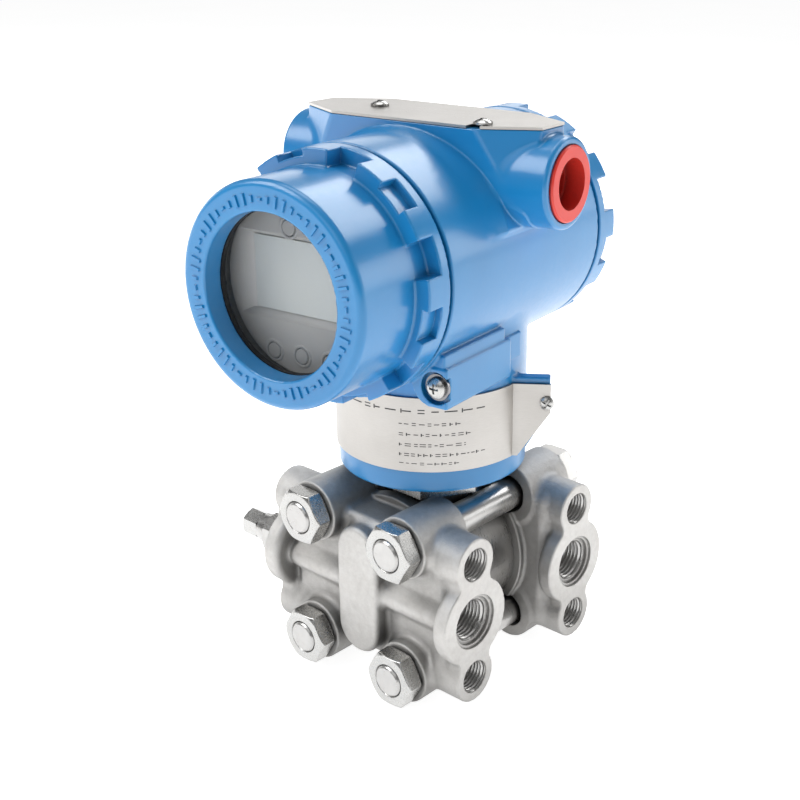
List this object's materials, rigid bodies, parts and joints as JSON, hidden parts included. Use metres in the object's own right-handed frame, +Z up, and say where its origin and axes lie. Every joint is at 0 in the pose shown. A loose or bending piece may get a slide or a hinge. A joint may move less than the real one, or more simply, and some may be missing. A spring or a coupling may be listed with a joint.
{
  "type": "differential pressure transmitter",
  "caption": "Differential pressure transmitter: steel sensor capsule between two process flanges, turning blue housing with display window, screwed covers and conduit entries.",
  "frame": {"origin": "centre of the rectangle of four tapped holes in the process coupling faces, in the plane of those faces", "axes": "+X out of the process ports; -Y towards the nuts of the tie bolts and the display; +Z up along the stem"},
  "size_m": [0.1204, 0.1449, 0.1917],
  "materials": {
    "cast_steel": "shot-blasted cast stainless, satin",
    "bright_steel": "machined bright stainless",
    "turned_steel": "turned stainless",
    "blue_paint": "gloss blue coat on die-cast aluminium",
    "glass_clear": "clear toughened glass",
    "black_rubber": "matte",
    "bezel_grey": "moulded, fine texture",
    "lcd_grey": "unpowered reflective LCD",
    "board_green": "circuit board",
    "black_plastic": "moulded",
    "red_plastic": "soft moulded polyethylene",
    "plate_steel": "brushed sheet",
    "brass_plain": "bright"
  },
  "bodies": {
    "process": {"high_side_flange": "cast_steel", "low_side_flange": "cast_steel", "tie_bolts": "turned_steel", "tie_nuts": "bright_steel", "vent_bodies": "turned_steel", "sensor_capsule": "turned_steel", "diaphragm_high": "bright_steel", "diaphragm_low": "bright_steel", "flange_gasket_high": "black_rubber", "flange_gasket_low": "black_rubber", "stem_lock_nut": "bright_steel"},
    "turning_housing": {"housing": "blue_paint", "display_bezel": "bezel_grey", "lcd_panel": "lcd_grey", "display_board": "board_green", "board_posts": "brass_plain", "electronics_module": "black_plastic", "terminal_block": "black_plastic", "terminal_screws": "bright_steel", "terminal_clamps": "brass_plain", "pivot_screw": "bright_steel", "clamp_screw": "bright_steel", "neck_plate": "plate_steel", "neck_plate_screw": "bright_steel", "earth_washer": "bright_steel", "earth_screw": "bright_steel"},
    "vent_high": {"vent_screw_high": "bright_steel"},
    "vent_low": {"vent_screw_low": "bright_steel"},
    "front_seal": {"front_cover_seal": "black_rubber"},
    "front_lid": {"front_cover": "blue_paint", "window_glass": "glass_clear", "window_gasket": "black_rubber", "window_ring": "turned_steel"},
    "rear_seal": {"rear_cover_seal": "black_rubber"},
    "rear_lid": {"rear_cover": "blue_paint"},
    "top_plate": {"name_plate": "plate_steel"},
    "span": {"span_button": "black_plastic"},
    "zero": {"zero_button": "black_plastic"},
    "key_left": {"display_key_left": "bezel_grey"},
    "key_mid": {"display_key_mid": "bezel_grey"},
    "key_right": {"display_key_right": "bezel_grey"},
    "key_top": {"display_key_top": "bezel_grey"},
    "plug_right": {"conduit_plug_right": "red_plastic"},
    "plug_left": {"conduit_plug_left": "red_plastic"}
  },
  "joints": [
    {"name": "housing_turn", "type": "hinge", "parent": "process", "child": "turning_housing", "pos_m": [-0.0432, 0, 0.04], "axis": [0, 0, 1], "range_deg": [-187.4, 172.5]},
    {"name": "vent_screw_high_turn", "type": "hinge", "parent": "process", "child": "vent_high", "pos_m": [-0.1092, -0.027, 0], "axis": [-1, 0, 0], "range_deg": [0, 720]},
    {"name": "vent_screw_low_turn", "type": "hinge", "parent": "process", "child": "vent_low", "pos_m": [-0.1092, 0.027, 0], "axis": [-1, 0, 0], "range_deg": [0, 720]},
    {"name": "front_cover_travel", "type": "slide", "parent": "turning_housing", "child": "front_seal", "axis": [0.1293, -0.9916, 0], "range_m": [0, 0.0091]},
    {"name": "front_cover_turn", "type": "hinge", "parent": "front_seal", "child": "front_lid", "pos_m": [-0.03673, -0.04958, 0.1139], "axis": [0.1293, -0.9916, 0], "range_deg": [0, 1620]},
    {"name": "rear_cover_travel", "type": "slide", "parent": "turning_housing", "child": "rear_seal", "axis": [-0.1293, 0.9916, 0], "range_m": [0, 0.0091]},
    {"name": "rear_cover_turn", "type": "hinge", "parent": "rear_seal", "child": "rear_lid", "pos_m": [-0.04967, 0.04958, 0.1139], "axis": [-0.1293, 0.9916, 0], "range_deg": [0, 1620]},
    {"name": "top_plate_swivel", "type": "hinge", "parent": "turning_housing", "child": "top_plate", "pos_m": [-0.06415, -0.00172, 0.1557], "axis": [0, 0, 1], "range_deg": [0, 110]},
    {"name": "span_press", "type": "slide", "parent": "turning_housing", "child": "span", "axis": [0, 0, -1], "range_m": [0, 0.0015], "stiffness_N_per_m": 400},
    {"name": "zero_press", "type": "slide", "parent": "turning_housing", "child": "zero", "axis": [0, 0, -1], "range_m": [0, 0.0015], "stiffness_N_per_m": 400},
    {"name": "key_left_press", "type": "slide", "parent": "turning_housing", "child": "key_left", "axis": [-0.1293, 0.9916, 0], "range_m": [0, 0.001], "stiffness_N_per_m": 300},
    {"name": "key_mid_press", "type": "slide", "parent": "turning_housing", "child": "key_mid", "axis": [-0.1293, 0.9916, 0], "range_m": [0, 0.001], "stiffness_N_per_m": 300},
    {"name": "key_right_press", "type": "slide", "parent": "turning_housing", "child": "key_right", "axis": [-0.1293, 0.9916, 0], "range_m": [0, 0.001], "stiffness_N_per_m": 300},
    {"name": "key_top_press", "type": "slide", "parent": "turning_housing", "child": "key_top", "axis": [-0.1293, 0.9916, 0], "range_m": [0, 0.001], "stiffness_N_per_m": 300},
    {"name": "plug_right_pull", "type": "slide", "parent": "turning_housing", "child": "plug_right", "axis": [0.9916, 0.1293, 0], "range_m": [0, 0.017]},
    {"name": "plug_left_pull", "type": "slide", "parent": "turning_housing", "child": "plug_left", "axis": [-0.9916, -0.1293, 0], "range_m": [0, 0.017]}
  ],
  "couplings": [
    {"joint": "front_cover_travel", "follows": "front_cover_turn", "m_per_rad": 0.00031831},
    {"joint": "rear_cover_travel", "follows": "rear_cover_turn", "m_per_rad": 0.00031831}
  ]
}
